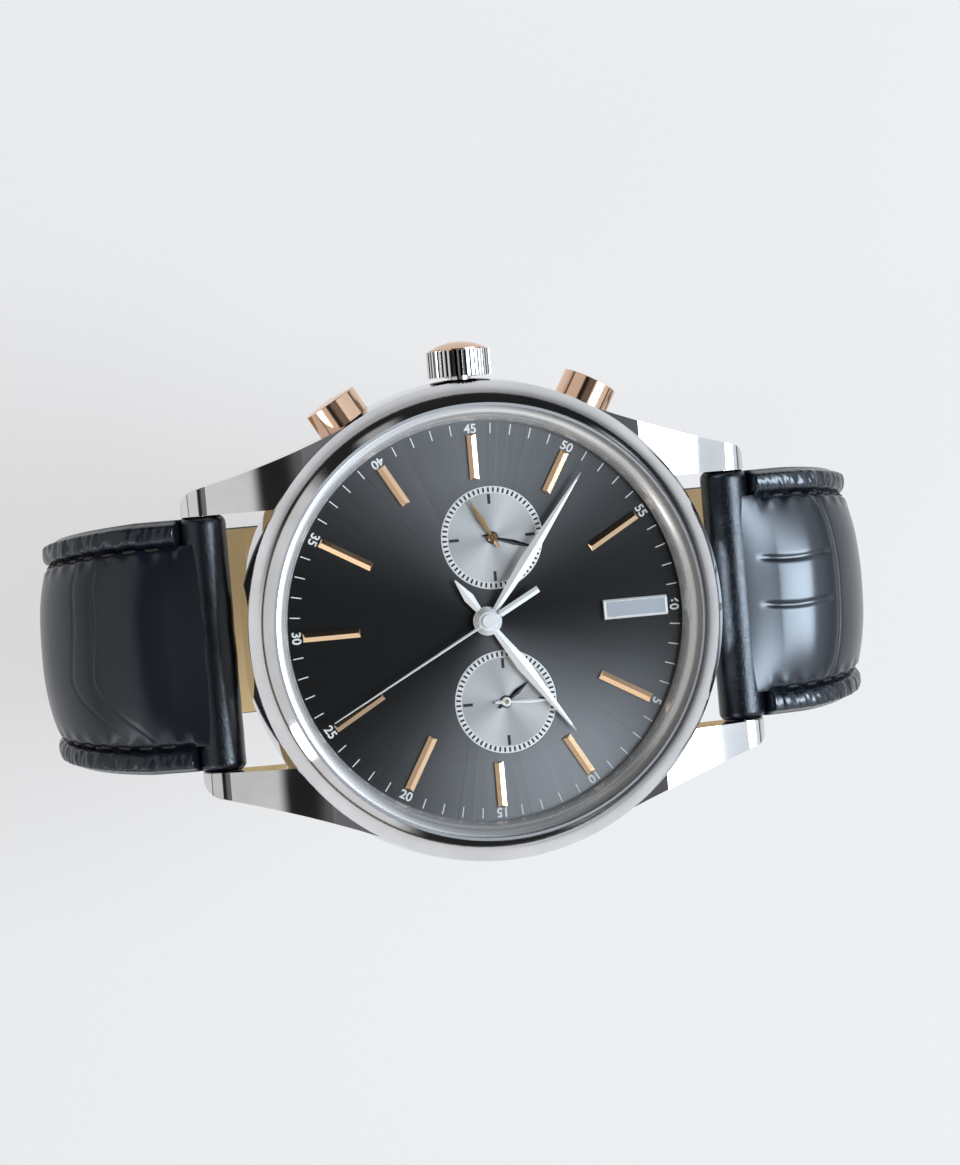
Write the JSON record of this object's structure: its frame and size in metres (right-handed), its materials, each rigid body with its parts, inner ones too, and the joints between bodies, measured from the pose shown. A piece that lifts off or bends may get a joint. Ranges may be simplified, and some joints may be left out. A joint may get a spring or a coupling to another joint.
{
  "type": "chronograph wristwatch",
  "caption": "Dress chronograph wristwatch on a closed padded leather strap: steel case, dark dial with two subdials, crown and pushers on the nine o'clock side.",
  "frame": {"origin": "centre of the outer face of the case back, on the dial axis; the table the closed strap stands on is 46 mm below it", "axes": "+X towards 12 o'clock, +Y towards the crown at 9 o'clock, +Z out of the dial"},
  "size_m": [0.0728, 0.0453, 0.0575],
  "materials": {
    "steel": "polished",
    "rose_gold": "polished",
    "sapphire": "clear",
    "rubber": "matt",
    "dial_black": "sunburst",
    "silver_dial": "sunburst",
    "hand_white": "polished",
    "hand_dark": "polished",
    "brass": "satin",
    "leather": "semi-gloss",
    "lining": "matt"
  },
  "bodies": {
    "case": {"mid_case": "steel", "bezel": "steel", "crystal": "sapphire", "crystal_gasket": "rubber", "rehaut_ring": "steel", "case_back": "steel", "back_gasket": "rubber", "movement_ring": "steel", "crown_tube": "steel", "pusher_tube_8": "steel", "pusher_tube_10": "steel", "pusher_spring_8": "steel", "pusher_spring_10": "steel", "dial": "dial_black", "subdial_3": "silver_dial", "subdial_9": "silver_dial", "hour_markers": "rose_gold", "twelve_marker": "steel", "main_plate": "brass", "train_bridge": "steel", "balance_cock": "steel", "rotor_bearing": "steel", "strap_12_upper": "leather", "strap_12_lining": "lining", "strap_6_upper": "leather", "strap_6_lining": "lining", "spring_bar_12": "steel", "spring_bar_6": "steel", "buckle_bar": "steel", "fixed_keeper": "leather"},
    "yoke": {"setting_yoke": "brass"},
    "crown_set": {"crown": "steel", "crown_cap": "rose_gold", "crown_gasket": "rubber", "winding_stem": "steel"},
    "pusher_a": {"pusher_8": "rose_gold"},
    "pusher_b": {"pusher_10": "rose_gold"},
    "minutes": {"centre_wheel": "brass", "cannon_pinion": "steel", "minute_hand": "hand_white"},
    "hours": {"hour_wheel": "brass", "hour_hand": "hand_white"},
    "idler": {"minute_wheel": "brass"},
    "third": {"third_wheel": "brass"},
    "seconds": {"fourth_wheel": "brass", "small_seconds_hand": "hand_dark"},
    "day": {"day_hand": "hand_dark"},
    "escape": {"escape_wheel": "steel"},
    "fork": {"pallet_fork": "steel"},
    "balance": {"balance_wheel": "brass"},
    "spring_drum": {"barrel": "brass"},
    "chrono": {"chrono_hand": "hand_white", "hand_cap": "rose_gold"},
    "count_minutes": {"counter_minute_hand": "rose_gold"},
    "count_hours": {"counter_hour_hand": "hand_dark"},
    "winder": {"rotor": "steel"},
    "buckle": {"buckle_frame": "steel"},
    "tang": {"buckle_tang": "steel"},
    "loop": {"free_keeper": "leather"}
  },
  "joints": [
    {"name": "crown_pull", "type": "slide", "parent": "case", "child": "yoke", "axis": [0, 1, 0], "range_m": [0, 0.0012]},
    {"name": "crown_turn", "type": "hinge", "parent": "yoke", "child": "crown_set", "pos_m": [0, 0.022, 0.0048], "axis": [0, 1, 0], "continuous": true},
    {"name": "pusher_8_press", "type": "slide", "parent": "case", "child": "pusher_a", "axis": [0.5, -0.866, 0], "range_m": [0, 0.001], "stiffness_N_per_m": 600, "springref_m": -0.0005},
    {"name": "pusher_10_press", "type": "slide", "parent": "case", "child": "pusher_b", "axis": [-0.5, -0.866, 0], "range_m": [0, 0.001], "stiffness_N_per_m": 600, "springref_m": -0.0005},
    {"name": "minute_turn", "type": "hinge", "parent": "case", "child": "minutes", "pos_m": [0, 0, 0.004], "axis": [0, 0, -1], "continuous": true},
    {"name": "hour_turn", "type": "hinge", "parent": "case", "child": "hours", "pos_m": [0, 0, 0.004], "axis": [0, 0, -1], "continuous": true},
    {"name": "minute_wheel_turn", "type": "hinge", "parent": "case", "child": "idler", "pos_m": [-0.004, 0, 0.004], "axis": [0, 0, -1], "continuous": true},
    {"name": "third_wheel_turn", "type": "hinge", "parent": "case", "child": "third", "pos_m": [0.00436, -0.00318, 0.004], "axis": [0, 0, -1], "continuous": true},
    {"name": "small_seconds_turn", "type": "hinge", "parent": "case", "child": "seconds", "pos_m": [0.0011, -0.0071, 0.004], "axis": [0, 0, -1], "continuous": true},
    {"name": "day_hand_turn", "type": "hinge", "parent": "case", "child": "day", "pos_m": [0.0011, -0.0071, 0.004], "axis": [0, 0, -1], "continuous": true},
    {"name": "escape_wheel_turn", "type": "hinge", "parent": "case", "child": "escape", "pos_m": [0.00388, -0.01041, 0.004], "axis": [0, 0, -1], "continuous": true},
    {"name": "barrel_turn", "type": "hinge", "parent": "case", "child": "spring_drum", "pos_m": [-0.00561, 0.00324, 0.004], "axis": [0, 0, -1], "continuous": true},
    {"name": "pallet_rock", "type": "hinge", "parent": "case", "child": "fork", "pos_m": [0.00601, -0.00789, 0.004], "axis": [0, 0, -1], "range_deg": [-3, 3]},
    {"name": "balance_swing", "type": "hinge", "parent": "case", "child": "balance", "pos_m": [0.0094, -0.0039, 0.004], "axis": [0, 0, -1], "range_deg": [-90, 90], "stiffness_Nm_per_rad": 0.00001},
    {"name": "chrono_seconds_turn", "type": "hinge", "parent": "case", "child": "chrono", "pos_m": [0, 0, 0.004], "axis": [0, 0, -1], "continuous": true},
    {"name": "minute_counter_turn", "type": "hinge", "parent": "case", "child": "count_minutes", "pos_m": [0.0011, 0.0071, 0.004], "axis": [0, 0, -1], "continuous": true},
    {"name": "hour_counter_turn", "type": "hinge", "parent": "case", "child": "count_hours", "pos_m": [0.0011, 0.0071, 0.004], "axis": [0, 0, -1], "continuous": true},
    {"name": "rotor_turn", "type": "hinge", "parent": "case", "child": "winder", "pos_m": [0, 0, 0.004], "axis": [0, 0, -1], "continuous": true},
    {"name": "buckle_swing", "type": "hinge", "parent": "case", "child": "buckle", "pos_m": [0, 0, -0.0416], "axis": [0, -1, 0], "range_deg": [0, 6]},
    {"name": "tang_lift", "type": "hinge", "parent": "buckle", "child": "tang", "pos_m": [0, 0, -0.0416], "axis": [0, -1, 0], "range_deg": [0, 10]},
    {"name": "keeper_slide", "type": "slide", "parent": "case", "child": "loop", "axis": [1, 0, 0], "range_m": [-0.0005, 0.0006]}
  ],
  "couplings": [
    {"joint": "hour_turn", "follows": "minute_turn", "ratio": 0.083333},
    {"joint": "minute_wheel_turn", "follows": "minute_turn", "ratio": -0.33333},
    {"joint": "third_wheel_turn", "follows": "minute_turn", "ratio": -8},
    {"joint": "small_seconds_turn", "follows": "minute_turn", "ratio": 60},
    {"joint": "escape_wheel_turn", "follows": "minute_turn", "ratio": -480},
    {"joint": "barrel_turn", "follows": "minute_turn", "ratio": -0.125},
    {"joint": "day_hand_turn", "follows": "minute_turn", "ratio": 0.041667},
    {"joint": "minute_counter_turn", "follows": "chrono_seconds_turn", "ratio": 0.033333},
    {"joint": "hour_counter_turn", "follows": "chrono_seconds_turn", "ratio": 0.0013889}
  ]
}
